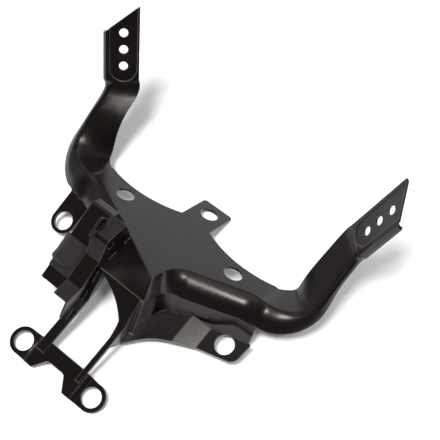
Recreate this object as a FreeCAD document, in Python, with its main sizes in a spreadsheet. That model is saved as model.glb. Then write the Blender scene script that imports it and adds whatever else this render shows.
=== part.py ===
import FreeCAD, Part
import math
import os

# Fairing stay of a sport motorbike: pressed-steel pieces welded into one stiff carrier.
# It is drawn lying on the top face of its instrument plate (X across the bike, Y forward,
# Z out of the plate), and one placement then sets it down as it rests on a bench.

doc = FreeCAD.newDocument("fairing_stay")
Vec = FreeCAD.Vector

# Driving sizes in millimetres and degrees
SIZES = {
    "sheet_gauge": 2.3,
    "mount_gauge": 3.2,
    "strap_gauge": 2.0,
    "bench_tilt": 26.5,
    "grommet_hole": 18.0,
    "gauge_hole_spacing": 130.0,
    "tab_width": 34.0,
    "tab_root_y": 28.0,
    "tab_end_y": 67.0,
    "tab_hole_y": 50.7,
    "tab_corner": 3.0,
    "front_waist_x": 60.0,
    "front_waist_y": 15.4,
    "root_x": 100.0,
    "root_front_y": 21.3,
    "root_rear_y": -6.5,
    "root_arc": 30.0,
    "flank_slope": 27.0,
    "flank_end_x": 41.0,
    "throat_x": 25.0,
    "throat_y": -70.0,
    "band_depth": 20.0,
    "band_flare": 14.5,
    "throat_flare": 7.0,
    "throat_foot_x": 29.9,
    "throat_foot_y": -78.0,
    "throat_left_x": -30.0,
    "band_fold": 6.0,
    "band_roll": 27.5,
    "ridge_round": 4.0,
    "gusset_step": 1.5,
    "pad_x": 150.5,
    "pad_y": 50.9,
    "pad_z": 113.9,
    "pad_splay": 18.2,
    "pad_toe": 42.0,
    "pad_hole": 8.5,
    "pad_pitch": 16.0,
    "pad_inner_width": 15.0,
    "pad_outer_width": 18.0,
    "pad_tip": 25.5,
    "pad_shoulder": 0.5,
    "pad_below": 46.0,
    "pad_kink_below": 57.0,
    "swage_width": 26.0,
    "swage_depth": 1.4,
    "swage_below": 47.0,
    "arm_bend_x": 114.0,
    "arm_bend_y": 34.5,
    "arm_heel_x": 131.0,
    "arm_heel_y": 2.0,
    "arm_mid_inner_x": 117.4,
    "arm_mid_inner_y": 39.0,
    "arm_mid_inner_z": 29.7,
    "arm_mid_outer_x": 145.0,
    "arm_mid_outer_y": 19.8,
    "arm_mid_outer_z": 25.3,
    "arm_flange": 7.0,
    "arm_flange_lean": 80.0,
    "arm_fold": 5.0,
    "arm_roll": 3.0,
    "mount_hole_spacing": 81.4,
    "mount_hole_y": -131.7,
    "mount_hole_z": -94.3,
    "mount_rake": 40.5,
    "mount_ring": 12.8,
    "mount_joggle": 4.0,
    "mount_bridge_half": 27.0,
    "mount_top": 14.0,
    "mount_foot": 13.0,
    "mount_notch_half": 9.5,
    "mount_tooth": 18.5,
    "neck_half": 26.0,
    "neck_lean": 20.4,
    "neck_bend": 10.0,
    "neck_lip": 3.3,
    "cheek_depth": 19.0,
    "cheek_run": 20.0,
    "window_left": 16.5,
    "window_right": 21.0,
    "window_top_z": -23.0,
    "window_shoulder_x": 17.7,
    "window_shoulder_z": -46.5,
    "window_knee_z": -58.0,
    "window_bulge": 3.5,
    "foot_lap": 11.0,
    "skirt_depth": 40.0,
    "skirt_end_depth": 20.0,
    "skirt_end_x": 112.0,
    "wing_depth": 15.0,
    "wing_end_depth": 6.0,
    "wing_length": 22.0,
    "side_lug_x": 98.1,
    "side_lug_y": -38.3,
    "side_lug_z": -39.5,
    "side_lug_rake": 36.9,
    "side_lug_step": 5.6,
    "lug_end": 17.0,
    "lug_corner": 10.0,
    "lug_rear": 8.5,
    "lug_front": 14.5,
    "lug_heel": 17.6,
    "lug_shoulder": 4.5,
    "lug_fold": 18.0,
    "joggle_run": 20.4,
    "strap_root_rear": 57.0,
    "strap_knee_x": 43.0,
    "strap_knee_rear": 36.0,
    "strap_sweep": 60.0,
    "strap_front": 3.0,
    "left_lug_ring": 12.5,
    "left_lug_rake": 48.4,
    "harness_x": -23.6,
    "harness_flange": 14.0,
    "harness_bend": 5.0,
    "harness_hole": 6.5,
    "harness_seat": 25.0,
    "harness_head_y": -58.0,
    "harness_head_z": 19.5,
    "harness_brow_y": -79.0,
    "harness_brow_z": 9.3,
    "harness_waist_y": -82.7,
    "harness_waist_z": -12.7,
    "harness_knee_y": -97.7,
    "harness_knee_z": -34.9,
    "harness_tail_y": -112.8,
    "harness_tail_z": -43.2,
    "harness_toe_y": -115.7,
    "harness_toe_z": -62.1,
    "harness_top_hole_y": -72.5,
    "harness_top_hole_z": 2.5,
    "harness_low_hole_y": -105.0,
    "harness_low_hole_z": -56.0,
    "relay_width": 24.0,
    "relay_length": 80.5,
    "relay_top_y": -53.7,
    "relay_top_z": 14.9,
    "relay_rake": 55.5,
    "relay_lip": 10.0,
    "relay_lip_turn": 60.0,
    "relay_bend": 2.0,
    "relay_cheek": 20.0,
    "sleeve_start": 34.0,
    "sleeve_length": 26.0,
    "sleeve_wall": 2.6,
    "sleeve_crown": 10.0,
    "sleeve_boot": 8.0,
    "sleeve_clearance": 0.1,
    "sleeve_rim": 5.0,
}

sheet = doc.addObject("Spreadsheet::Sheet", "Sizes")
for row, (alias, value) in enumerate(SIZES.items(), start=1):
    sheet.set(f"A{row}", alias)
    sheet.set(f"B{row}", str(value))
    sheet.setAlias(f"B{row}", alias)
doc.recompute()


def size(alias):
    return float(sheet.get(alias))


# Resting placement: the frame-mount holes straddle the origin, the tab's end and the lugs touch down
bench_turn = FreeCAD.Rotation(Vec(1, 0, 0), -size("bench_tilt"))
BENCH = FreeCAD.Placement(bench_turn * Vec(0, -size("mount_hole_y"), -size("mount_hole_z")), bench_turn)


def framed(origin, along, depth):
    """Placement whose X runs along, whose Y is the part of depth square to it."""
    x_axis = Vec(along).normalize()
    y_axis = Vec(depth) - x_axis * x_axis.dot(depth)
    y_axis.normalize()
    z_axis = x_axis.cross(y_axis)
    return FreeCAD.Placement(origin, FreeCAD.Rotation(x_axis, y_axis, z_axis, "XYZ"))


def rounded_loop(corners):
    """Closed outline through (x, y, radius) corners, with an arc where the radius isn't nil."""
    count = len(corners)
    spans = []
    for index, (x, y, radius) in enumerate(corners):
        here = Vec(x, y)
        before = (Vec(*corners[index - 1][:2]) - here).normalize()
        after = (Vec(*corners[(index + 1) % count][:2]) - here).normalize()
        if radius == 0:
            spans.append((here, None, here))
            continue
        half = before.getAngle(after) / 2
        reach = radius / math.tan(half)
        inward = (before + after).normalize()
        middle = here + inward * (radius / math.sin(half) - radius)
        spans.append((here + before * reach, middle, here + after * reach))
    curves = []
    for index, (start, middle, end) in enumerate(spans):
        if middle:
            curves.append(Part.Arc(start, middle, end))
        curves.append(Part.LineSegment(end, spans[(index + 1) % count][0]))
    return curves


# Steps that a rolled flange is drawn in, from its fold to its edge
ROLL_STEPS = 4

# Corner radius of a ring lug's end as a share of its half width, so that a short flat stays between corners
RING_ROUND = 0.99


def rolled_flange(depth, lean, roll, fold, gauge):
    """Outer and inner skin of a flange that folds off its sheet and rolls down to its edge.

    Each skin runs from the fold's start by its middle to its end, then in steps round the roll to the edge.
    """
    slope = math.radians(lean)
    swing = math.radians(roll)
    start = slope - swing
    end = slope + swing
    radius = depth / math.sin(slope) / (2 * math.sin(swing))
    inset = fold * math.tan(start / 2)
    fold_centre = Vec(-inset, fold)
    roll_centre = Vec(-math.sin(start), math.cos(start)) * radius
    first = start + inset / radius
    roll_angles = [first + (end - first) * step / ROLL_STEPS for step in range(1, ROLL_STEPS + 1)]
    skins = []
    for skin in (0, gauge):
        points = [fold_centre + spoke(angle) * (fold - skin) for angle in (0, start / 2, start)]
        points += [roll_centre + spoke(angle) * (radius - skin) for angle in roll_angles]
        skins.append(points)
    return skins


def spoke(angle):
    """Unit vector off a flange that has turned down by an angle: X is outward, Y is down."""
    return Vec(math.sin(angle), -math.cos(angle))


def band_flange():
    lean = math.degrees(math.atan2(size("band_depth"), size("band_flare")))
    return rolled_flange(size("band_depth"), lean, size("band_roll"), size("band_fold"), size("sheet_gauge"))


def angle_section(width, skins, gauge):
    """Sheet angle: a web reaching back from its flange, both of one gauge."""
    outer, inner = skins
    return flat([Vec(-width, 0), *outer, *reversed(inner), Vec(-width, gauge)])


def sketch_of(name, curves, placement):
    sketch = doc.addObject("Sketcher::SketchObject", name)
    sketch.addGeometry(curves, False)
    sketch.Placement = BENCH.multiply(placement)
    return sketch


def flat(points_and_arcs):
    """Closed outline from a start point, then points for lines and (middle, end) pairs for arcs."""
    start = points_and_arcs[0]
    here = start
    curves = []
    for move in points_and_arcs[1:] + [start]:
        if isinstance(move, tuple):
            middle, end = move
            curves.append(Part.Arc(here, middle, end))
            here = end
        else:
            curves.append(Part.LineSegment(here, move))
            here = move
    return curves


def backward(moves):
    """The same line of points and arcs, travelled from its other end."""
    points = [move[1] if isinstance(move, tuple) else move for move in moves]
    turned = [points[-1]]
    for index in range(len(moves) - 1, 0, -1):
        move = moves[index]
        turned.append((move[0], points[index - 1]) if isinstance(move, tuple) else points[index - 1])
    return turned


def lofted(name, sections, ruled=False):
    body = doc.addObject("Part::Loft", name)
    body.Sections = sections
    body.Solid = True
    body.Ruled = ruled
    return body


def level(z):
    """Sketch plane at a height above the plate's top face."""
    return FreeCAD.Placement(Vec(0, 0, z), FreeCAD.Rotation())


def mirrored(point):
    return Vec(-point.x, point.y, point.z)


def skin_inset(drop, flare):
    """How far inside the outer corner and the outer foot the inner skin of a flared wall lies."""
    lean = math.atan2(drop, flare)
    gauge = size("sheet_gauge")
    return gauge * (1 - math.cos(lean)) / math.sin(lean), gauge / math.sin(lean)


def rear_edge(flare, throat_flare, apex, left_corner, left_gusset):
    """Rear outline from the left arm's root to the right one, pushed outward by its flares."""
    slope = math.radians(size("flank_slope"))
    off = Vec(math.sin(slope), -math.cos(slope))
    root_rear = Vec(size("root_x"), size("root_rear_y"))
    arc = size("root_arc")
    arc_centre = root_rear - Vec(0, arc)
    arc_spoke = Vec(-math.sin(slope / 2), math.cos(slope / 2))
    flank_start = arc_centre - off * arc
    flank_run = (flank_start.x - size("flank_end_x")) / math.cos(slope)
    flank_end = flank_start - Vec(math.cos(slope), math.sin(slope)) * flank_run
    turn = (size("flank_end_x") - size("throat_x")) / (1 - math.sin(slope))
    turn_centre = flank_end + off * turn
    turn_angle = math.radians(180) - (math.radians(90) - slope) / 2
    turn_spoke = Vec(math.cos(turn_angle), math.sin(turn_angle))
    turn_end = turn_centre + Vec(throat_flare - turn, 0)
    turn_middle = turn_centre + turn_spoke * (turn - (flare + throat_flare) / 2)
    ridge = size("ridge_round")
    ridge_start = apex + (left_corner - apex).normalize() * ridge
    ridge_end = apex + (turn_end - apex).normalize() * ridge
    ridge_middle = apex * 0.5 + (ridge_start + ridge_end) * 0.25
    root = root_rear - Vec(0, flare)
    root_bend = (arc_centre + arc_spoke * (arc - flare), flank_start + off * flare)
    return [
        mirrored(root),
        (mirrored(root_bend[0]), mirrored(root_bend[1])),
        left_gusset,
        left_corner,
        ridge_start,
        ridge_middle,
        ridge_end,
        turn_end,
        (turn_middle, flank_end + off * flare),
        root_bend[1],
        (root_bend[0], root),
    ]


def front_edge():
    """Front outline from the right arm's root round the tab to the left arm's root."""
    tab_half = size("tab_width") / 2
    corner = size("tab_corner")
    tab_root = Vec(tab_half, size("tab_root_y"))
    tab_side = Vec(tab_half, size("tab_end_y") - corner)
    tab_end = Vec(tab_half - corner, size("tab_end_y"))
    tab_middle = tab_end + Vec(math.sin(math.radians(45)), math.cos(math.radians(45)) - 1) * corner
    waist = Vec(size("front_waist_x"), size("front_waist_y"))
    root = Vec(size("root_x"), size("root_front_y"))
    right = [root, (waist, tab_root), tab_side, (tab_middle, tab_end)]
    left = [
        mirrored(tab_end), (mirrored(tab_middle), mirrored(tab_side)), mirrored(tab_root),
        (mirrored(waist), mirrored(root)),
    ]
    return right + left


def flank_corner():
    """Where the straight flank of the plate's rear edge ends, on the right."""
    slope = math.radians(size("flank_slope"))
    arc = size("root_arc")
    start_x = size("root_x") - arc * math.sin(slope)
    start_y = size("root_rear_y") - arc * (1 - math.cos(slope))
    end_x = size("flank_end_x")
    return Vec(end_x, start_y - (start_x - end_x) * math.tan(slope))


def throat_foot():
    """Lower corners of the throat wall, on the right and on the left."""
    level_y = size("throat_foot_y")
    return Vec(size("throat_foot_x"), level_y), Vec(size("throat_left_x"), level_y)


def plate_shell():
    """Plate with its rear edge rolled down into bands, and the twisted wall of the throat between."""
    gauge = size("sheet_gauge")
    depth = size("band_depth")
    throat_flare = size("throat_flare")
    slope = math.radians(size("flank_slope"))
    corner = mirrored(flank_corner())
    gusset = Vec(-math.cos(slope), math.sin(slope)) * size("gusset_step")
    off = Vec(-math.sin(slope), -math.cos(slope))
    apex = Vec(size("throat_x"), size("throat_y"))
    low_apex, low_left = throat_foot()
    outer_skin, inner_skin = band_flange()
    outer = []
    for number, point in enumerate(outer_skin):
        share = point.y / depth
        tuck = max(0, -point.x)
        rear = rear_edge(
            point.x, throat_flare * share - tuck,
            between(apex, low_apex, share) + Vec(-tuck, tuck),
            between(corner, low_left, share) - off * tuck,
            corner + off * point.x + gusset * (1 - share),
        )
        outer.append(sketch_of(f"plate_outer_{number}", flat(front_edge() + rear), level(-point.y)))

    top_in, low_in = skin_inset(depth, size("band_flare"))
    throat_top_in, throat_low_in = skin_inset(depth, throat_flare)
    across = (corner - apex).normalize()
    square = Vec(across.y, -across.x)
    lift = (throat_top_in + square.x * throat_top_in) / square.y
    apex_in = apex + Vec(-throat_top_in, lift)
    low_apex_in = low_apex + Vec(-throat_low_in, throat_low_in)
    corner_in = corner - off * top_in
    low_left_in = low_left + Vec(low_in, low_in)
    past = Vec(size("root_x") + size("tab_corner"), size("tab_end_y") + size("tab_corner"))
    inner = []
    for number, point in enumerate(inner_skin):
        share = (point.y - gauge) / (depth - gauge)
        rear = rear_edge(
            point.x, (throat_flare - low_in) * share - throat_top_in * (1 - share),
            between(apex_in, low_apex_in, share), between(corner_in, low_left_in, share),
            corner + off * point.x + gusset * (1 - share),
        )
        root = Vec(past.x, rear[0].y)
        opening = [root, past, mirrored(past), mirrored(root)]
        inner.append(sketch_of(f"plate_inner_{number}", flat(opening + rear), level(-point.y)))
    hull = lofted("plate_hull", outer, ruled=True)
    hollow = lofted("plate_hollow", inner, ruled=True)
    return cut_by("plate_shell", hull, [hollow])


def between(start, end, share):
    return start + (end - start) * share


def pad_axes():
    """Length, width and outward face of the right mirror pad."""
    splay = math.radians(size("pad_splay"))
    toe = math.radians(size("pad_toe"))
    length = Vec(math.sin(splay), 0, math.cos(splay))
    face = Vec(-math.sin(toe), -math.cos(toe), 0)
    face = (face - length * length.dot(face)).normalize()
    return length, length.cross(face), face


def pad_point(along, across):
    length, width, face = pad_axes()
    return Vec(size("pad_x"), size("pad_y"), size("pad_z")) + length * along + width * across


def station(name, inner, outer, face, share):
    """One section of the arm, from its inner edge to its flanged outer edge, part-way from the band."""
    lean = math.degrees(math.atan2(size("band_depth"), size("band_flare")))
    gauge = size("sheet_gauge")

    def blend(band, arm):
        return band + (arm - band) * share

    skins = rolled_flange(
        blend(size("band_depth"), size("arm_flange")), blend(lean, size("arm_flange_lean")),
        blend(size("band_roll"), size("arm_roll")), blend(size("band_fold"), size("arm_fold")), gauge,
    )
    curves = angle_section((outer - inner).Length, skins, gauge)
    return sketch_of(name, curves, framed(outer, outer - inner, face * -1))


def arm_blank():
    """Right arm: sheet-angle sections carried from the plate's root up to the pad, then straight."""
    up = Vec(0, 0, 1)
    root_in = Vec(size("root_x"), size("root_front_y"), 0)
    root_out = Vec(size("root_x"), size("root_rear_y"), 0)
    bend = Vec(size("arm_bend_x"), size("arm_bend_y"), 0)
    heel = Vec(size("arm_heel_x"), size("arm_heel_y"), 0)
    mid_in = Vec(size("arm_mid_inner_x"), size("arm_mid_inner_y"), size("arm_mid_inner_z"))
    mid_out = Vec(size("arm_mid_outer_x"), size("arm_mid_outer_y"), size("arm_mid_outer_z"))
    inner_edge = -size("pad_inner_width")
    outer_edge = size("pad_outer_width")
    kink = -size("pad_kink_below")
    below = -size("pad_below")
    kink_in = pad_point(kink, inner_edge)
    kink_out = pad_point(kink, outer_edge)
    arm_face = (mid_out - mid_in).cross(kink_in - mid_in).normalize()
    pad_face = pad_axes()[2]
    gauge = size("sheet_gauge")
    slack = Vec(0, gauge / 2, 0)
    turn_in = between(root_in, bend, 0.5) + Vec(gauge, -gauge, 0) * 0.65
    turn_out = between(root_out, heel, 0.5) - slack * 2.2
    rise_out = between(heel, mid_out, 0.55) + Vec(gauge, -gauge / 2, -gauge * 1.5) * 0.9
    plan = [
        (root_in, root_out, up, 0.0),
        (turn_in, turn_out, up, 0.1),
        (between(bend, mid_in, 0.06), between(heel, mid_out, 0.1), between(up, arm_face, 0.25), 0.35),
        (between(bend, mid_in, 0.35), rise_out, between(up, arm_face, 0.65), 0.6),
        (mid_in, mid_out, arm_face, 0.9),
        (between(mid_in, kink_in, 0.5) - slack, between(mid_out, kink_out, 0.5) - slack, arm_face, 1.0),
        (kink_in, kink_out, between(arm_face, pad_face, 0.5), 1.0),
        (pad_point(below, inner_edge), pad_point(below, outer_edge), pad_face, 1.0),
    ]
    sections = [station(f"arm_station_{number}", *place) for number, place in enumerate(plan)]
    beyond = size("pad_tip") + gauge
    last = (pad_point(beyond, inner_edge), pad_point(beyond, outer_edge), pad_face, 1.0)
    end = station("arm_station_end", *last)
    return lofted("arm_sweep", sections), lofted("pad_blank", [sections[-1], end], ruled=True)


def prism(name, curves, placement, forward, back):
    """Sketch extruded square to its plane, by sheet expressions each way."""
    block = doc.addObject("Part::Extrusion", name)
    block.Base = sketch_of(name + "_outline", curves, placement)
    block.DirMode = "Normal"
    block.Solid = True
    block.setExpression("LengthFwd", forward)
    block.setExpression("LengthRev", back)
    return block


def drill(name, diameter, at, axis):
    """Cylinder for a hole, centred on its point."""
    pin = doc.addObject("Part::Cylinder", name)
    pin.setExpression("Radius", f"Sizes.{diameter} / 2")
    pin.setExpression("Height", "2 * Sizes.grommet_hole")
    turn = FreeCAD.Rotation(Vec(0, 0, 1), axis)
    start = at - Vec(axis).normalize() * size("grommet_hole")
    pin.Placement = BENCH.multiply(FreeCAD.Placement(start, turn))
    return pin


def joined(name, pieces):
    whole = doc.addObject("Part::MultiFuse", name)
    whole.Shapes = pieces
    return whole


def cut_by(name, base, tools):
    tool = tools[0]
    if len(tools) > 1:
        tool = doc.addObject("Part::Compound", name + "_tools")
        tool.Links = tools
    cut = doc.addObject("Part::Cut", name)
    cut.Base = base
    cut.Tool = tool
    return cut


def shared(name, first, second):
    both = doc.addObject("Part::MultiCommon", name)
    both.Shapes = [first, second]
    return both


def swage_outline(half):
    """U-shaped pressing round the pad's holes, running out past the pad's tip."""
    low = half - size("swage_below")
    high = size("pad_tip") + size("pad_outer_width")
    return flat([Vec(-half, low), (Vec(0, low - half), Vec(half, low)), Vec(half, high), Vec(-half, high)])


def right_arm():
    swept, straight = arm_blank()
    length, width, face = pad_axes()
    on_pad = framed(pad_point(0, 0), width, length)
    swage_half = size("swage_width") / 2
    grown = swage_half + size("sheet_gauge") / 2
    boss = prism("pad_boss", swage_outline(grown), on_pad, "-Sizes.sheet_gauge * 0.9",
                 "Sizes.sheet_gauge + Sizes.swage_depth")
    hollow = prism("pad_hollow", swage_outline(swage_half), on_pad, "Sizes.sheet_gauge", "Sizes.swage_depth")
    inner = -size("pad_inner_width")
    outer = size("pad_outer_width")
    fall = (size("pad_shoulder") - size("pad_tip")) / (outer - inner)
    spare = size("pad_outer_width")
    high = size("pad_tip") + 2 * spare
    slant = flat([
        Vec(inner - spare, size("pad_tip") - fall * spare),
        Vec(outer + spare, size("pad_shoulder") + fall * spare),
        Vec(outer + spare, high),
        Vec(inner - spare, high),
    ])
    end = prism("pad_end", slant, on_pad, "Sizes.band_depth", "Sizes.band_depth")
    holes = [
        drill(f"pad_hole_{n}", "pad_hole", pad_point(-n * size("pad_pitch"), 0), face) for n in range(3)
    ]
    blank = joined("arm_joined", [swept, straight, boss])
    return cut_by("arm_right", blank, [hollow, end] + holes)


def main_pressing():
    """Plate, bands and both arms, pressed in one from sheet and pierced."""
    right = right_arm()
    left = doc.addObject("Part::Mirroring", "arm_left")
    left.Source = right
    left.Normal = Vec(1, 0, 0)
    shell = plate_shell()
    up = Vec(0, 0, 1)
    gauge_hole = size("gauge_hole_spacing") / 2
    holes = [
        drill("gauge_hole_right", "grommet_hole", Vec(gauge_hole, 0), up),
        drill("gauge_hole_left", "grommet_hole", Vec(-gauge_hole, 0), up),
        drill("tab_hole", "grommet_hole", Vec(0, size("tab_hole_y")), up),
    ]
    return cut_by("main_pressing", joined("pressing_joined", [shell, right, left]), holes)


def offset_line(points, gap):
    """Open line moved sideways to the left of its travel, with mitred corners."""
    moved = []
    for index, here in enumerate(points):
        steps = []
        if index > 0:
            steps.append((here - points[index - 1]).normalize())
        if index + 1 < len(points):
            steps.append((points[index + 1] - here).normalize())
        normals = [Vec(-step.y, step.x) for step in steps]
        mitre = normals[0] + normals[-1]
        moved.append(here + mitre * (gap * 2 / mitre.dot(mitre)))
    return moved


def bent_sheet(points, gauge, bend):
    """Side view of a folded strip: its face line, its gauge to the left, and a bend at each corner."""
    other = offset_line(points, gauge)
    near = []
    far = []
    for index, here in enumerate(points):
        radii = (0, 0)
        if 0 < index < len(points) - 1:
            before = here - points[index - 1]
            after = points[index + 1] - here
            turns_left = before.x * after.y - before.y * after.x > 0
            radii = (bend + gauge, bend) if turns_left else (bend, bend + gauge)
        near.append((here.x, here.y, radii[0]))
        far.append((other[index].x, other[index].y, radii[1]))
    return rounded_loop(near + far[::-1])


# Sketch plane of a side view: its X is the stay's Y, its Y the stay's Z, its normal the stay's X
SIDE_VIEW = FreeCAD.Rotation(Vec(0, 1, 0), Vec(0, 0, 1), Vec(1, 0, 0), "XYZ")


def side_view(x=0):
    return FreeCAD.Placement(Vec(x, 0, 0), SIDE_VIEW)


# Sketch plane seen from behind: its X is the stay's X, its Y the stay's Z, its normal looks back
REAR_VIEW = FreeCAD.Placement(Vec(), FreeCAD.Rotation(Vec(1, 0, 0), Vec(0, 0, 1), Vec(0, -1, 0), "XYZ"))


def raked(origin, rake):
    """Plane through a point that looks up and back: X across, Y up its slope, Z off its face."""
    angle = math.radians(rake)
    return framed(origin, Vec(1, 0, 0), Vec(0, math.cos(angle), math.sin(angle)))


def mount_plane():
    return raked(Vec(0, size("mount_hole_y"), size("mount_hole_z")), size("mount_rake"))


def frame_mount_plate():
    """Heavier plate with two ring lugs joggled off its bridge, and a notch between its teeth."""
    hole = size("mount_hole_spacing") / 2
    ring = size("mount_ring")
    step = size("mount_joggle")
    half = size("mount_bridge_half")
    gauge = size("mount_gauge")
    end = hole + ring
    right_end = [Vec(end, 0), Vec(half + step, 0), Vec(half, step)]
    line = right_end + [mirrored(point) for point in right_end[::-1]]
    edge_on = framed(mount_plane().Base, Vec(1, 0, 0), mount_plane().Rotation * Vec(0, 0, 1))
    bent = prism("mount_bent", bent_sheet(line, gauge, gauge / 2), edge_on,
                 "2 * Sizes.mount_ring", "2 * Sizes.mount_ring")
    top = size("mount_top")
    foot = -size("mount_foot")
    tooth = size("mount_tooth")
    notch = size("mount_notch_half")
    corner = gauge / 2
    right_half = [
        (half - step, top, step),
        (half + 2 * step, ring, corner),
        (end, ring, ring * RING_ROUND),
        (end, -ring, ring * RING_ROUND),
        (half + step, -ring, corner),
        (tooth, foot, corner),
        (notch, 0, step),
    ]
    left_half = [(-x, y, radius) for x, y, radius in right_half[::-1]]
    outline = prism("mount_outline", rounded_loop(right_half + left_half), mount_plane(),
                    "2 * Sizes.mount_joggle", "2 * Sizes.mount_joggle")
    blank = shared("mount_blank", bent, outline)
    axis = mount_plane().Rotation * Vec(0, 0, 1)
    holes = [
        drill(f"mount_hole_{n}", "grommet_hole", mount_plane().multVec(Vec(x, 0, 0)), axis)
        for n, x in enumerate((-hole, hole))
    ]
    return cut_by("frame_mount_plate", blank, holes)


def neck_line():
    """Rear face of the neck in side view: down from under the plate, then along the mount plate."""
    lean = math.tan(math.radians(size("neck_lean")))
    gauge = size("sheet_gauge")
    top_z = gauge - size("band_depth")
    top = Vec(size("throat_foot_y") + gauge * lean, top_z)
    rise = size("mount_joggle") + gauge
    slope = mount_plane().Rotation
    seat = mount_plane().multVec(Vec(0, size("mount_top") - size("foot_lap"), rise))
    up = slope * Vec(0, 1, 0)
    reach = (top.x - seat.y + lean * (seat.z - top_z)) / (up.y - lean * up.z)
    return [top, Vec(seat.y + up.y * reach, seat.z + up.z * reach), Vec(seat.y, seat.z)]


def neck_window():
    """Tall opening between the legs, its head sloping from the left leg down to the right one."""
    crown = Vec(-size("window_left"), size("window_top_z"))
    shoulder = Vec(size("window_shoulder_x"), size("window_shoulder_z"))
    knee = Vec(size("window_right"), size("window_knee_z"))
    low = size("mount_hole_z") - size("mount_top")
    chord = shoulder - crown
    arch = between(crown, shoulder, 0.5) + Vec(-chord.y, chord.x).normalize() * size("window_bulge")
    outline = flat([crown, (arch, shoulder), knee, Vec(knee.x, low), Vec(crown.x, low)])
    return prism("neck_window", outline, REAR_VIEW,
                 "Sizes.band_depth - Sizes.mount_hole_y", "Sizes.band_depth")


def cheek_outline():
    """Side view of a leg's flange: a narrow lip by the foot, deep where the side strap meets it."""
    top, bend, foot = neck_line()
    deep = size("cheek_depth")
    reach = size("cheek_run")
    lip = size("neck_lip")
    run = (foot - bend).normalize()
    side = Vec(-run.y, run.x)
    start = between(top, bend, (-size("band_depth") - top.y) / (bend.y - top.y))
    leg_end = foot - run * (size("foot_lap") + size("sheet_gauge"))
    return flat([
        start, bend, leg_end, leg_end + side * lip,
        bend + run * reach + side * lip,
        bend + run * (reach * 0.7) + side * (deep * 0.8),
        bend - run * (reach * 0.3) + side * deep,
        start + Vec(deep, -deep), start + Vec(deep, 0),
    ])


def neck_pressing(main, mount):
    """Web with a tall window, two flanged legs, and walls that close the bands from below."""
    half = size("neck_half")
    web = prism("neck_web", bent_sheet(neck_line(), size("sheet_gauge"), size("neck_bend")), side_view(),
                "Sizes.neck_half", "Sizes.neck_half")
    cut_web = cut_by("neck_cut_web", web, [neck_window()])
    cheeks = []
    for name, x in (("right", half - size("sheet_gauge")), ("left", -half)):
        cheeks.append(prism(f"neck_cheek_{name}", cheek_outline(), side_view(x), "Sizes.sheet_gauge", "0"))
    above = doc.addObject("Part::Box", "neck_headroom")
    above.setExpression("Length", "4 * Sizes.neck_half")
    above.setExpression("Width", "-Sizes.mount_hole_y")
    above.setExpression("Height", "Sizes.band_depth")
    corner = Vec(-2 * half, size("mount_hole_y"), -size("band_depth"))
    above.Placement = BENCH.multiply(FreeCAD.Placement(corner, FreeCAD.Rotation()))
    joint = joined("neck_joined", [cut_web, *cheeks, skirt(), left_wing()])
    return cut_by("neck_pressing", joint, [above, main, mount] + wall_trims())


def skirt_line(inset):
    """Foot of the right band from the neck's web out to the arm's root, moved in by an inset."""
    low_apex, low_left = throat_foot()
    flare = size("band_flare") - inset
    apex = low_apex + Vec(-inset, inset)
    rear = rear_edge(flare, size("throat_flare") - inset, apex, low_left, low_left)
    root = rear[-1][1]
    start = Vec(size("neck_half") - 2 * size("sheet_gauge"), apex.y)
    return [start, apex] + rear[7:] + [root + Vec(size("skirt_end_x") - size("root_x"), 0)]


def skirt():
    """Wall below the right band, which the side strap is welded along."""
    skin = size("sheet_gauge") / 4
    outline = flat(skirt_line(skin) + backward(skirt_line(skin + size("sheet_gauge"))))
    return prism("skirt_wall", outline, level(-size("band_depth")), "0", "Sizes.skirt_depth")


def left_wing():
    """Short wall below the left band, beside the neck."""
    gauge = size("sheet_gauge")
    slope = math.radians(size("flank_slope"))
    outward = Vec(-math.cos(slope), math.sin(slope))
    off = Vec(-math.sin(slope), -math.cos(slope))
    low_left = throat_foot()[1]

    def line(inset):
        flank_end = mirrored(flank_corner()) + off * (size("band_flare") - inset)
        foot = low_left + Vec(inset, inset)
        start = Vec(2 * gauge - size("neck_half"), foot.y)
        return [start, foot, flank_end, flank_end + outward * size("wing_length")]

    skin = gauge / 4
    outline = flat(line(skin) + backward(line(skin + gauge)))
    return prism("left_wing_wall", outline, level(-size("band_depth")), "0", "Sizes.wing_depth")


def wall_trims():
    """Wedges that slope the walls' lower edges up towards their outer ends."""
    foot = -size("band_depth")
    near = size("neck_half") + size("sheet_gauge")
    wing_far = size("flank_end_x") + 2 * size("wing_length")
    trims = []
    for name, side, far, deep, end_deep in (
        ("right", 1, size("skirt_end_x"), size("skirt_depth"), size("skirt_end_depth")),
        ("left", -1, wing_far, size("wing_depth"), size("wing_end_depth")),
    ):
        low = foot - 2 * deep
        wedge = [Vec(near, foot - deep), Vec(far, foot - end_deep), Vec(far, low), Vec(near, low)]
        outline = flat([Vec(side * point.x, point.y) for point in wedge])
        trims.append(prism(f"{name}_wall_trim", outline, REAR_VIEW, "-Sizes.mount_hole_y", "0"))
    return trims


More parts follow.
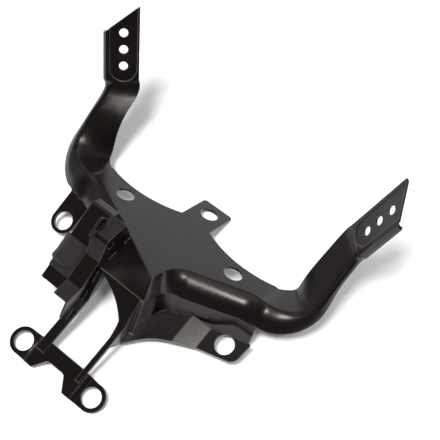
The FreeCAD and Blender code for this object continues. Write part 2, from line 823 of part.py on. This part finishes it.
def right_side_lug(neck):
    """Strap swept off the neck's right cheek along the skirt, joggled down to a broad lug."""
    plane = raked(Vec(0, size("side_lug_y"), size("side_lug_z")), size("side_lug_rake"))
    gauge = size("mount_gauge")
    step = size("side_lug_step")
    hole_x = size("side_lug_x")
    root = size("neck_half")
    tip = hole_x + size("lug_end")
    fold_low = hole_x - size("lug_fold")
    fold_high = fold_low - size("joggle_run")
    edge_on = framed(plane.Base, Vec(1, 0, 0), plane.Rotation * Vec(0, 0, 1))
    line = [Vec(tip + gauge, 0), Vec(fold_low, 0), Vec(fold_high, step), Vec(root, step)]
    bent = prism("side_lug_bent", bent_sheet(line, gauge, gauge), edge_on,
                 "2 * Sizes.strap_root_rear", "2 * Sizes.strap_root_rear")
    outline = prism("side_lug_outline", rounded_loop([
        (root, -size("strap_root_rear"), 0),
        (size("strap_knee_x"), -size("strap_knee_rear"), size("strap_sweep")),
        (fold_low, -size("lug_heel"), gauge),
        (tip, -size("lug_rear"), size("lug_corner")),
        (tip + gauge / 2, size("lug_front"), gauge / 2),
        (fold_low, size("lug_shoulder"), gauge),
        (fold_high, size("strap_front"), 0),
        (root, size("strap_front"), 0),
    ]), plane, "4 * Sizes.side_lug_step", "4 * Sizes.side_lug_step")
    blank = shared("side_lug_blank", bent, outline)
    axis = plane.Rotation * Vec(0, 0, 1)
    hole = drill("right_lug_hole", "grommet_hole", plane.multVec(Vec(hole_x, 0, 0)), axis)
    face = skirt_line(size("sheet_gauge") / 4)
    far = face[-1] if not isinstance(face[-1], tuple) else face[-1][1]
    inside = flat(face + [Vec(far.x, size("tab_end_y")), Vec(face[0].x, size("tab_end_y"))])
    behind = prism("skirt_inside", inside, level(-size("band_depth")), "0", "3 * Sizes.skirt_depth")
    return cut_by("right_side_lug", blank, [hole, behind, neck])


def left_side_lug(main):
    """Flat ring lug hanging from the left band's lower edge."""
    plane = raked(Vec(-size("side_lug_x"), size("side_lug_y"), size("side_lug_z")), size("left_lug_rake"))
    ring = size("left_lug_ring")
    rise = (-size("band_depth") - size("side_lug_z")) / math.sin(math.radians(size("left_lug_rake")))
    gauge = size("mount_gauge")
    blank = prism("left_lug_blank", rounded_loop([
        (ring, rise + gauge, 0), (-ring, rise + gauge, 0),
        (-ring, -ring, ring * RING_ROUND), (ring, -ring, ring * RING_ROUND),
    ]), plane, "0", "Sizes.mount_gauge")
    hole = drill("left_lug_hole", "grommet_hole", plane.Base, plane.Rotation * Vec(0, 0, 1))
    return cut_by("left_side_lug", blank, [hole, main])


def harness_point(name):
    """A corner or hole of the harness bracket in side view."""
    return Vec(size(f"harness_{name}_y"), size(f"harness_{name}_z"))


def throat_wall_line(x):
    """Middle of the throat wall in side view at one place across, from its foot to its head."""
    apex = Vec(size("throat_x"), size("throat_y"))
    corner = mirrored(flank_corner())
    head = between(apex, corner, (apex.x - x) / (apex.x - corner.x))
    foot_y = size("throat_foot_y")
    return offset_line([Vec(foot_y, -size("band_depth")), Vec(head.y, 0)], -size("sheet_gauge") / 2)


def harness_bracket(main, neck):
    """Upright web on the throat's left, its rear edge folded out into a flange, two holes."""
    x = size("harness_x")
    gauge = size("strap_gauge")
    bend = size("harness_bend")
    fold = [harness_point(name) for name in ("head", "brow", "waist", "knee", "tail")]
    toe = harness_point("toe")
    low_bend, low_end = offset_line(neck_line(), size("sheet_gauge") / 2)[1:]
    seat = low_bend + (low_end - low_bend).normalize() * size("harness_seat")
    foot = [seat, low_bend] + throat_wall_line(x + gauge / 2)
    corners = [(fold[0].x, fold[0].y, 0)]
    corners += [(point.x, point.y, bend) for point in fold[1:-1]]
    corners += [(fold[-1].x, fold[-1].y, gauge), (toe.x, toe.y, bend)]
    corners += [(point.x, point.y, 0) for point in foot]
    web = prism("harness_web", rounded_loop(corners), side_view(x), "Sizes.strap_gauge", "0")
    flange = prism("harness_fold", bent_sheet(fold, gauge, bend - gauge), side_view(x),
                   "Sizes.strap_gauge", "Sizes.harness_flange")
    holes = []
    for name in ("top_hole", "low_hole"):
        at = harness_point(name)
        holes.append(drill(f"harness_{name}_pin", "harness_hole", Vec(x, at.x, at.y), Vec(1, 0, 0)))
    return cut_by("harness_bracket", joined("harness_joined", [web, flange]), [main, neck] + holes)


def relay_plane():
    """Plane of the relay tongue: X across, Y up the tongue, Z off its rear face."""
    middle = size("harness_x") - size("harness_flange") - size("strap_gauge") - size("relay_width") / 2
    return raked(Vec(middle, size("relay_top_y"), size("relay_top_z")), size("relay_rake"))


def relay_bracket():
    """Tongue with its head bent forward into a lip, and a cheek that meets the harness flange."""
    half = size("relay_width") / 2
    gauge = size("strap_gauge")
    plane = relay_plane()
    up = plane.Rotation * Vec(0, 1, 0)
    off = plane.Rotation * Vec(0, 0, 1)
    turn = math.radians(size("relay_lip_turn"))
    lip = Vec(math.cos(turn), -math.sin(turn)) * size("relay_lip")
    line = [lip, Vec(), Vec(-size("relay_length"), 0)]
    tongue = prism("relay_tongue", bent_sheet(line, gauge, size("relay_bend")), framed(plane.Base, up, off),
                   "Sizes.relay_width / 2", "Sizes.relay_width / 2")
    rise = size("relay_cheek")
    run = size("sleeve_start") - gauge
    top = -size("relay_bend") - gauge
    cheek = prism("relay_cheek_wall", rounded_loop([
        (top, -gauge, 0), (top, rise, gauge),
        (-run * 0.7, rise, gauge), (-run, rise * 0.3, gauge), (-run, -gauge, 0),
    ]), framed(plane.multVec(Vec(half, 0, 0)), up, off), "Sizes.strap_gauge", "0")
    return joined("relay_bracket", [tongue, cheek])


def relay_sleeve():
    """Moulded rubber sleeve pushed over the tongue: crowned body, thicker rim, thin boot below it."""
    plane = relay_plane()
    half = size("relay_width") / 2
    gauge = size("strap_gauge")
    room = size("sleeve_clearance")
    wall = size("sleeve_wall")
    crown = size("sleeve_crown")
    start = plane.multVec(Vec(0, -size("sleeve_start"), 0))
    cross = framed(start, plane.Rotation * Vec(1, 0, 0), plane.Rotation * Vec(0, 0, 1))

    def ring(thick, high):
        side = half + thick
        floor = -gauge - thick
        base = Vec(side, floor)
        shoulder = Vec(side, wall / 2)
        return flat([mirrored(base), base, shoulder, (Vec(0, high), mirrored(shoulder))])

    body = prism("sleeve_body", ring(wall, crown), cross, "Sizes.sleeve_length", "0")
    rim = prism("sleeve_rim_ring", ring(wall * 1.35, crown + wall * 0.35), cross, "Sizes.sleeve_length",
                "Sizes.sleeve_rim - Sizes.sleeve_length")
    boot = prism("sleeve_boot_ring", ring(wall * 0.45, wall), cross,
                 "Sizes.sleeve_length + Sizes.sleeve_boot", "-Sizes.sleeve_rim")
    low = Vec(half + room, -gauge - room)
    high = Vec(half + room, room)
    slot = prism("sleeve_slot", flat([mirrored(low), low, high, mirrored(high)]), cross,
                 "2 * Sizes.sleeve_length", "Sizes.sleeve_length")
    return cut_by("relay_sleeve", joined("sleeve_joined", [body, rim, boot]), [slot])


main = main_pressing()
mount = frame_mount_plate()
neck = neck_pressing(main, mount)
nodes = [
    main, mount, neck, right_side_lug(neck), left_side_lug(main), harness_bracket(main, neck),
    relay_bracket(), relay_sleeve(),
]
doc.recompute()

for item in doc.Objects:
    if "Invalid" in item.State or "Error" in item.State:
        raise RuntimeError(f"{item.Name} did not build: {item.State}")
for node in nodes:
    if node.Shape.isNull() or not node.Shape.isValid() or len(node.Shape.Solids) != 1:
        raise RuntimeError(f"{node.Name} is not one sound solid")

os.makedirs("parts", exist_ok=True)
for node in nodes:
    node.Label = node.Name
    node.Shape.exportStep(f"parts/{node.Label}.step")
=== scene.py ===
import bpy
import math
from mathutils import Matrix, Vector


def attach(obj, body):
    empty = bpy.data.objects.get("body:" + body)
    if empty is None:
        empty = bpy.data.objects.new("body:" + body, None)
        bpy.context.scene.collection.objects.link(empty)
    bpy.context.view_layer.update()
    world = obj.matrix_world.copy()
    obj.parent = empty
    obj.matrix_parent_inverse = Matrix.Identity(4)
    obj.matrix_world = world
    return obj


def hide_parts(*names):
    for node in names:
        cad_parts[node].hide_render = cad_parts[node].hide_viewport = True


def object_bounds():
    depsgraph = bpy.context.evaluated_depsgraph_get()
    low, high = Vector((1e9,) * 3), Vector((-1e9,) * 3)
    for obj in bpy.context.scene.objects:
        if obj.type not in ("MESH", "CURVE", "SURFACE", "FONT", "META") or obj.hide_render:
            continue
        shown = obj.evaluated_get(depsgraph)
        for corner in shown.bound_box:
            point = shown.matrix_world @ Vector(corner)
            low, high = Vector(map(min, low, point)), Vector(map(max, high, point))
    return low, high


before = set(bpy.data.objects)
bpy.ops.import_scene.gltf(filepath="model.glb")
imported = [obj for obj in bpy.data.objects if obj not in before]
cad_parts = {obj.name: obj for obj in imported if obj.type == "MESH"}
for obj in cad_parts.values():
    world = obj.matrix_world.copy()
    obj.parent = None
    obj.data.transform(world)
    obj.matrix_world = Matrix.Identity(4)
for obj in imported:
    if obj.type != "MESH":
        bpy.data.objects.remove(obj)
cad_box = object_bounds()
scene = bpy.context.scene
scene.view_settings.view_transform = "Standard"

# Main pressing: plate, rolled bands and both arms, drawn in one from steel sheet and pierced.
# It is stove enamelled black with all that is welded to it: one satin coat with a faint orange peel.
# Along the rounded edges its colour is painted lighter: a painted highlight on every edge.
main_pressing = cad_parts["main_pressing"]
same_point = 0.00001
enamel = bpy.data.materials.new("black_stove_enamel")
enamel.use_nodes = True
nodes = enamel.node_tree.nodes
links = enamel.node_tree.links
coat = nodes["Principled BSDF"]
coat.inputs["Specular IOR Level"].default_value = 0.55
coat.inputs["Specular Tint"].default_value = (1.0, 0.95, 0.91, 1)
place = nodes.new("ShaderNodeTexCoord")

peel = nodes.new("ShaderNodeTexNoise")
peel.inputs["Scale"].default_value = 900.0
peel.inputs["Detail"].default_value = 2.0
links.new(place.outputs["Object"], peel.inputs["Vector"])
rounded_edge = nodes.new("ShaderNodeBevel")
rounded_edge.samples = 6
rounded_edge.inputs["Radius"].default_value = 0.0011
skin = nodes.new("ShaderNodeBump")
skin.inputs["Strength"].default_value = 0.05
skin.inputs["Distance"].default_value = 0.0004
links.new(peel.outputs["Fac"], skin.inputs["Height"])
links.new(rounded_edge.outputs["Normal"], skin.inputs["Normal"])
links.new(skin.outputs["Normal"], coat.inputs["Normal"])

handling = nodes.new("ShaderNodeTexNoise")
handling.inputs["Scale"].default_value = 28.0
handling.inputs["Detail"].default_value = 6.0
links.new(place.outputs["Object"], handling.inputs["Vector"])
sheen = nodes.new("ShaderNodeMapRange")
sheen.inputs["From Min"].default_value = 0.3
sheen.inputs["From Max"].default_value = 0.7
sheen.inputs["To Min"].default_value = 0.2
sheen.inputs["To Max"].default_value = 0.3
links.new(handling.outputs["Fac"], sheen.inputs["Value"])
links.new(sheen.outputs["Result"], coat.inputs["Roughness"])

# Painted edge highlight: where the rounded-edge normal turns away from the face, the base colour goes from
# black to a lighter grey.
flat_face = nodes.new("ShaderNodeNewGeometry")
edge_turn = nodes.new("ShaderNodeVectorMath")
edge_turn.operation = "DOT_PRODUCT"
links.new(rounded_edge.outputs["Normal"], edge_turn.inputs[0])
links.new(flat_face.outputs["True Normal"], edge_turn.inputs[1])
painted_highlight_mask = nodes.new("ShaderNodeMapRange")
painted_highlight_mask.inputs["From Min"].default_value = 0.96
painted_highlight_mask.inputs["From Max"].default_value = 0.72
links.new(edge_turn.outputs["Value"], painted_highlight_mask.inputs["Value"])
edge_highlight_paint = nodes.new("ShaderNodeMix")
edge_highlight_paint.data_type = "RGBA"
edge_highlight_paint.inputs[6].default_value = (0.0048, 0.0036, 0.0033, 1)
edge_highlight_paint.inputs[7].default_value = (0.13, 0.12, 0.112, 1)
links.new(painted_highlight_mask.outputs["Result"], edge_highlight_paint.inputs[0])
links.new(edge_highlight_paint.outputs[2], coat.inputs["Base Color"])
main_pressing.data.materials[0] = enamel

# The drawn sheet has no creases: edges that turn by less than a fold are shaded round.
drawn = bpy.data.node_groups.new("drawn_sheet", "GeometryNodeTree")
drawn.interface.new_socket("Geometry", in_out="INPUT", socket_type="NodeSocketGeometry")
fold_angle = drawn.interface.new_socket("Fold Angle", in_out="INPUT", socket_type="NodeSocketFloat")
fold_angle.default_value = math.radians(28)
drawn.interface.new_socket("Geometry", in_out="OUTPUT", socket_type="NodeSocketGeometry")
nodes = drawn.nodes
links = drawn.links
blank = nodes.new("NodeGroupInput")
one_skin = nodes.new("GeometryNodeMergeByDistance")
one_skin.inputs["Distance"].default_value = same_point
links.new(blank.outputs["Geometry"], one_skin.inputs["Geometry"])
plain = nodes.new("GeometryNodeRemoveAttribute")
plain.inputs["Name"].default_value = "custom_normal"
links.new(one_skin.outputs["Geometry"], plain.inputs["Geometry"])
round_faces = nodes.new("GeometryNodeSetShadeSmooth")
round_faces.domain = "FACE"
links.new(plain.outputs["Geometry"], round_faces.inputs["Geometry"])
turn = nodes.new("GeometryNodeInputMeshEdgeAngle")
folded = nodes.new("FunctionNodeCompare")
folded.operation = "GREATER_THAN"
links.new(turn.outputs["Unsigned Angle"], folded.inputs["A"])
links.new(blank.outputs["Fold Angle"], folded.inputs["B"])
crisp_folds = nodes.new("GeometryNodeSetShadeSmooth")
crisp_folds.domain = "EDGE"
crisp_folds.inputs["Shade Smooth"].default_value = False
links.new(round_faces.outputs["Geometry"], crisp_folds.inputs["Geometry"])
links.new(folded.outputs["Result"], crisp_folds.inputs["Selection"])
pressed = nodes.new("NodeGroupOutput")
links.new(crisp_folds.outputs["Geometry"], pressed.inputs["Geometry"])
main_pressing.modifiers.new("drawn_sheet", "NODES").node_group = drawn
flats = main_pressing.modifiers.new("flats_stay_flat", "WEIGHTED_NORMAL")
flats.keep_sharp = True
flats.weight = 80

# Neck pressing: the second steel pressing, with a window through its web and its sides folded into
# cheeks, skirt and legs. It closes the bands from below.
neck_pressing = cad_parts["neck_pressing"]
neck_pressing.data.materials[0] = enamel

# Frame mount plate: heavier steel plate, blanked and joggled, which bolts to the frame by its two rings.
# The neck's legs stand on it. Arc weld holds them, as it does the lugs and brackets further on: stitches
# of overlapping ripples, which the tree lays where an edge of one piece lies on the other.
mount_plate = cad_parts["frame_mount_plate"]
mount_plate.data.materials[0] = enamel
weld_bead = bpy.data.node_groups.new("weld_bead", "GeometryNodeTree")
weld_inputs = {
    label: weld_bead.interface.new_socket(label, in_out="INPUT", socket_type=kind).identifier
    for label, kind in (
        ("Welded Piece", "NodeSocketObject"),
        ("Carrier", "NodeSocketObject"),
        ("Touch", "NodeSocketFloat"),
        ("Edge Turn", "NodeSocketFloat"),
        ("Stitch Length", "NodeSocketFloat"),
        ("Stitch Pitch", "NodeSocketFloat"),
        ("Ripple Pitch", "NodeSocketFloat"),
        ("Bead Width", "NodeSocketFloat"),
        ("Seed", "NodeSocketInt"),
    )
}
weld_bead.interface.new_socket("Geometry", in_out="OUTPUT", socket_type="NodeSocketGeometry")
nodes = weld_bead.nodes
links = weld_bead.links
job = nodes.new("NodeGroupInput")
welded = nodes.new("GeometryNodeObjectInfo")
welded.transform_space = "RELATIVE"
links.new(job.outputs["Welded Piece"], welded.inputs["Object"])
closed = nodes.new("GeometryNodeMergeByDistance")
closed.inputs["Distance"].default_value = same_point
links.new(welded.outputs["Geometry"], closed.inputs["Geometry"])
carrier = nodes.new("GeometryNodeObjectInfo")
carrier.transform_space = "RELATIVE"
links.new(job.outputs["Carrier"], carrier.inputs["Object"])
nearest = nodes.new("GeometryNodeProximity")
nearest.target_element = "FACES"
links.new(carrier.outputs["Geometry"], nearest.inputs[0])
touching = nodes.new("FunctionNodeCompare")
touching.operation = "LESS_THAN"
links.new(nearest.outputs["Distance"], touching.inputs["A"])
links.new(job.outputs["Touch"], touching.inputs["B"])
ends_touch = nodes.new("GeometryNodeFieldOnDomain")
ends_touch.domain = "POINT"
ends_touch.data_type = "BOOLEAN"
links.new(touching.outputs["Result"], ends_touch.inputs["Value"])
all_along = nodes.new("FunctionNodeBooleanMath")
all_along.operation = "AND"
links.new(touching.outputs["Result"], all_along.inputs[0])
links.new(ends_touch.outputs["Value"], all_along.inputs[1])
edge_angle = nodes.new("GeometryNodeInputMeshEdgeAngle")
true_edge = nodes.new("FunctionNodeCompare")
true_edge.operation = "GREATER_THAN"
links.new(edge_angle.outputs["Unsigned Angle"], true_edge.inputs["A"])
links.new(job.outputs["Edge Turn"], true_edge.inputs["B"])
corner = nodes.new("FunctionNodeBooleanMath")
corner.operation = "AND"
links.new(all_along.outputs["Boolean"], corner.inputs[0])
links.new(true_edge.outputs["Result"], corner.inputs[1])
seam_line = nodes.new("GeometryNodeMeshToCurve")
links.new(closed.outputs["Geometry"], seam_line.inputs["Mesh"])
links.new(corner.outputs["Boolean"], seam_line.inputs["Selection"])
dabs = nodes.new("GeometryNodeResampleCurve")
dabs.mode = "LENGTH"
links.new(seam_line.outputs["Curve"], dabs.inputs["Curve"])
links.new(job.outputs["Ripple Pitch"], dabs.inputs["Length"])
travel = nodes.new("GeometryNodeSplineParameter")
since_start = nodes.new("ShaderNodeMath")
since_start.operation = "MODULO"
links.new(travel.outputs["Length"], since_start.inputs[0])
links.new(job.outputs["Stitch Pitch"], since_start.inputs[1])
arc_on = nodes.new("FunctionNodeCompare")
arc_on.operation = "LESS_THAN"
links.new(since_start.outputs["Value"], arc_on.inputs["A"])
links.new(job.outputs["Stitch Length"], arc_on.inputs["B"])
along = nodes.new("GeometryNodeInputTangent")
facing = nodes.new("FunctionNodeAlignRotationToVector")
facing.axis = "Z"
links.new(along.outputs["Tangent"], facing.inputs["Vector"])
uneven = nodes.new("FunctionNodeRandomValue")
uneven.inputs[2].default_value = 0.85
uneven.inputs[3].default_value = 1.1
links.new(job.outputs["Seed"], uneven.inputs["Seed"])
swell = nodes.new("ShaderNodeMath")
swell.operation = "MULTIPLY"
links.new(job.outputs["Bead Width"], swell.inputs[0])
links.new(uneven.outputs[1], swell.inputs[1])
ripple = nodes.new("GeometryNodeMeshUVSphere")
ripple.inputs["Segments"].default_value = 14
ripple.inputs["Rings"].default_value = 8
ripple.inputs["Radius"].default_value = 0.5
laid = nodes.new("GeometryNodeInstanceOnPoints")
links.new(dabs.outputs["Curve"], laid.inputs["Points"])
links.new(arc_on.outputs["Result"], laid.inputs["Selection"])
links.new(ripple.outputs["Mesh"], laid.inputs["Instance"])
links.new(facing.outputs["Rotation"], laid.inputs["Rotation"])
links.new(swell.outputs["Value"], laid.inputs["Scale"])
fused = nodes.new("GeometryNodeRealizeInstances")
links.new(laid.outputs["Instances"], fused.inputs["Geometry"])
flowed = nodes.new("GeometryNodeSetShadeSmooth")
links.new(fused.outputs["Geometry"], flowed.inputs["Geometry"])
dipped = nodes.new("GeometryNodeSetMaterial")
dipped.inputs["Material"].default_value = enamel
links.new(flowed.outputs["Geometry"], dipped.inputs["Geometry"])
cooled = nodes.new("NodeGroupOutput")
links.new(dipped.outputs["Geometry"], cooled.inputs["Geometry"])


def lay_weld(name, piece, onto):
    """Stitches of weld along the edges of a piece that lie on the one that carries it."""
    torch = bpy.data.objects.new(name + "_torch", bpy.data.meshes.new(name + "_torch"))
    scene.collection.objects.link(torch)
    pass_along = torch.modifiers.new("weld_bead", "NODES")
    pass_along.node_group = weld_bead
    pass_along[weld_inputs["Welded Piece"]] = piece
    pass_along[weld_inputs["Carrier"]] = onto
    pass_along[weld_inputs["Touch"]] = 0.00015
    pass_along[weld_inputs["Edge Turn"]] = math.radians(30)
    pass_along[weld_inputs["Stitch Length"]] = 0.011
    pass_along[weld_inputs["Stitch Pitch"]] = 0.021
    pass_along[weld_inputs["Ripple Pitch"]] = 0.0011
    pass_along[weld_inputs["Bead Width"]] = 0.0027
    pass_along[weld_inputs["Seed"]] = 3
    hot = torch.evaluated_get(bpy.context.evaluated_depsgraph_get())
    weld = bpy.data.objects.new(name, bpy.data.meshes.new_from_object(hot))
    scene.collection.objects.link(weld)
    bpy.data.objects.remove(torch)
    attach(weld, "root")


lay_weld("foot_welds", neck_pressing, mount_plate)

# Right side lug: a strap of thinner steel, bent to follow the skirt and joggled out to its grommet hole.
# It is welded to the neck's right cheek and skirt.
right_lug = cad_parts["right_side_lug"]
right_lug.data.materials[0] = enamel
lay_weld("strap_weld", right_lug, neck_pressing)

# Left side lug: a flat steel ring with one grommet hole, blanked from strip.
# Its tail is welded up under the left band.
left_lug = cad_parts["left_side_lug"]
left_lug.data.materials[0] = enamel
lay_weld("left_lug_weld", left_lug, main_pressing)

# Harness bracket: an upright steel web with a flanged rear edge and two holes for the loom's clips.
# It stands on edge on the throat wall and the neck's web, and is welded to both.
harness_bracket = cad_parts["harness_bracket"]
harness_bracket.data.materials[0] = enamel
lay_weld("harness_throat_weld", harness_bracket, main_pressing)
lay_weld("harness_neck_weld", harness_bracket, neck_pressing)

# Relay bracket: a steel tongue with a folded head and one cheek.
# The cheek lies against the harness bracket's flange and is welded there.
relay_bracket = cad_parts["relay_bracket"]
relay_bracket.data.materials[0] = enamel
lay_weld("relay_weld", harness_bracket, relay_bracket)

# Relay sleeve: a body, rim and boot moulded in one from black rubber, pushed over the tongue by hand.
# Its skin is dull and slightly bloomed, and the mould leaves no sharp edge on it.
rubber = bpy.data.materials.new("bloomed_rubber")
rubber.use_nodes = True
nodes = rubber.node_tree.nodes
links = rubber.node_tree.links
body = nodes["Principled BSDF"]
body.inputs["Roughness"].default_value = 0.62
body.inputs["Specular IOR Level"].default_value = 0.35
place = nodes.new("ShaderNodeTexCoord")
bloom = nodes.new("ShaderNodeTexNoise")
bloom.inputs["Scale"].default_value = 160.0
bloom.inputs["Detail"].default_value = 5.0
links.new(place.outputs["Object"], bloom.inputs["Vector"])
dust = nodes.new("ShaderNodeMix")
dust.data_type = "RGBA"
dust.inputs[6].default_value = (0.012, 0.0105, 0.01, 1)
dust.inputs[7].default_value = (0.026, 0.023, 0.022, 1)
links.new(bloom.outputs["Fac"], dust.inputs[0])
links.new(dust.outputs[2], body.inputs["Base Color"])
soft_edge = nodes.new("ShaderNodeBevel")
soft_edge.samples = 6
soft_edge.inputs["Radius"].default_value = 0.0012
grain = nodes.new("ShaderNodeBump")
grain.inputs["Strength"].default_value = 0.2
grain.inputs["Distance"].default_value = 0.0003
links.new(bloom.outputs["Fac"], grain.inputs["Height"])
links.new(soft_edge.outputs["Normal"], grain.inputs["Normal"])
links.new(grain.outputs["Normal"], body.inputs["Normal"])
relay_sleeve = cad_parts["relay_sleeve"]
relay_sleeve.data.materials[0] = rubber
moulding = bpy.data.objects.new("sleeve_moulding", relay_sleeve.data.copy())
scene.collection.objects.link(moulding)
even_skin = moulding.modifiers.new("even_skin", "REMESH")
even_skin.mode = "VOXEL"
even_skin.voxel_size = 0.0008
even_skin.use_smooth_shade = True
mould_radius = moulding.modifiers.new("mould_radius", "SMOOTH")
mould_radius.factor = 0.5
mould_radius.iterations = 30
cured = moulding.evaluated_get(bpy.context.evaluated_depsgraph_get())
moulded_sleeve = bpy.data.objects.new("moulded_sleeve", bpy.data.meshes.new_from_object(cured))
scene.collection.objects.link(moulded_sleeve)
bpy.data.objects.remove(moulding)
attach(moulded_sleeve, "root")
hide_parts("relay_sleeve")

# Bench: a matt white table top under the stay, which keeps its soft shadow.
# Away from the stay a painted glow, seen by the eye and in the enamel alike, pales it to plain white; close
# to the stay the glow is weak.
bpy.ops.mesh.primitive_plane_add(size=60.0, location=(0, 0, cad_box[0][2]))
bench = bpy.context.object
bench.name = "bench"
paper = bpy.data.materials.new("white_paper")
paper.use_nodes = True
nodes = paper.node_tree.nodes
links = paper.node_tree.links
face = nodes["Principled BSDF"]
face.inputs["Base Color"].default_value = (0.86, 0.86, 0.86, 1)
face.inputs["Roughness"].default_value = 0.9
face.inputs["Specular IOR Level"].default_value = 0.1
seen = nodes.new("ShaderNodeLightPath")
seen_or_glossy = nodes.new("ShaderNodeMath")
seen_or_glossy.operation = "MAXIMUM"
links.new(seen.outputs["Is Camera Ray"], seen_or_glossy.inputs[0])
links.new(seen.outputs["Is Glossy Ray"], seen_or_glossy.inputs[1])
seen_at_all = nodes.new("ShaderNodeMath")
seen_at_all.operation = "MAXIMUM"
links.new(seen_or_glossy.outputs["Value"], seen_at_all.inputs[0])
links.new(seen.outputs["Is Transmission Ray"], seen_at_all.inputs[1])
place = nodes.new("ShaderNodeTexCoord")
away = nodes.new("ShaderNodeVectorMath")
away.operation = "LENGTH"
links.new(place.outputs["Object"], away.inputs[0])


def fade(tree, reading, start, end, low, high):
    """Soft step from low to high while a reading goes from start to end."""
    step = tree.nodes.new("ShaderNodeMapRange")
    step.interpolation_type = "SMOOTHSTEP"
    step.inputs["From Min"].default_value = start
    step.inputs["From Max"].default_value = end
    step.inputs["To Min"].default_value = low
    step.inputs["To Max"].default_value = high
    tree.links.new(reading, step.inputs["Value"])
    return step.outputs["Result"]


# Painted glow: the table's emission rises from weak beside the stay to near white far from it.
glow_away_from_stay = fade(paper.node_tree, away.outputs["Value"], start=0.5, end=2.5, low=0.05, high=0.9)
glow = nodes.new("ShaderNodeMath")
glow.operation = "MULTIPLY"
links.new(seen_at_all.outputs["Value"], glow.inputs[0])
links.new(glow_away_from_stay, glow.inputs[1])
face.inputs["Emission Color"].default_value = (1, 1, 1, 1)
links.new(glow.outputs["Value"], face.inputs["Emission Strength"])
bench.data.materials.append(paper)

# Studio: a dark room round the bench, with a white wall ahead of the stay, which the plate mirrors,
# a dimmer wall on its left and a lit stretch of ceiling.
room = bpy.data.worlds.new("studio")
scene.world = room
room.use_nodes = True
nodes = room.node_tree.nodes
links = room.node_tree.links
look = nodes.new("ShaderNodeTexCoord")
split = nodes.new("ShaderNodeSeparateXYZ")
links.new(look.outputs["Generated"], split.inputs["Vector"])
ahead = fade(room.node_tree, split.outputs["Y"], start=0.35, end=0.9, low=0.0, high=0.98)
wall_top = fade(room.node_tree, split.outputs["Z"], start=0.25, end=0.5, low=1.0, high=0.15)
wall = nodes.new("ShaderNodeMath")
wall.operation = "MULTIPLY"
links.new(ahead, wall.inputs[0])
links.new(wall_top, wall.inputs[1])
left = fade(room.node_tree, split.outputs["X"], start=-0.3, end=-0.95, low=0.05, high=0.32)
walls = nodes.new("ShaderNodeMath")
walls.operation = "ADD"
links.new(wall.outputs["Value"], walls.inputs[0])
links.new(left, walls.inputs[1])
ceiling = fade(room.node_tree, split.outputs["Z"], start=0.65, end=0.9, low=0.0, high=0.7)
ceiling_edge = fade(room.node_tree, split.outputs["Y"], start=-0.2, end=0.25, low=0.0, high=1.0)
overhead = nodes.new("ShaderNodeMath")
overhead.operation = "MULTIPLY_ADD"
links.new(ceiling, overhead.inputs[0])
links.new(ceiling_edge, overhead.inputs[1])
links.new(walls.outputs["Value"], overhead.inputs[2])
links.new(overhead.outputs["Value"], nodes["Background"].inputs["Strength"])
nodes["Background"].inputs["Color"].default_value = (1, 1, 1, 1)

# Key diffuser: a broad lamp up on the left of the camera, which lights the table and throws the soft shadows.
# It is kept out of the enamel's reflections.
middle = (Vector(cad_box[0]) + Vector(cad_box[1])) / 2


def hang_lamp(name, size, energy, way, distance):
    """Round lamp that looks at the middle of the stay from a given way off."""
    lamp = bpy.data.lights.new(name, "AREA")
    lamp.shape = "DISK"
    lamp.size = size
    lamp.energy = energy
    stand = bpy.data.objects.new(name, lamp)
    scene.collection.objects.link(stand)
    from_middle = Vector(way).normalized()
    stand.location = middle + from_middle * distance
    stand.rotation_euler = from_middle.to_track_quat("Z", "Y").to_euler()
    return stand


key_diffuser = hang_lamp("key_diffuser", size=1.0, energy=112.0, way=(-0.04, -0.3, 0.95), distance=3.0)
key_diffuser.visible_glossy = False

# Overhead softbox: a small round lamp above the stay's right side.
# It makes the long highlight along the rolled bands.
hang_lamp("overhead_softbox", size=0.3, energy=5.0, way=(0.44, -0.12, 0.89), distance=1.4)

# Camera: above and behind the stay on its right, as in the photograph.
# Its place, turn and lens are those at which the holes and edges fall where the photograph has them.
lens = bpy.data.cameras.new("camera")
lens.sensor_width = 36.0
lens.lens = 72.61
camera = bpy.data.objects.new("camera", lens)
scene.collection.objects.link(camera)
camera.location = (0.27657, -0.15702, 0.72224)
camera.rotation_euler = (math.radians(31.982), math.radians(-2.119), math.radians(39.41))
scene.camera = camera
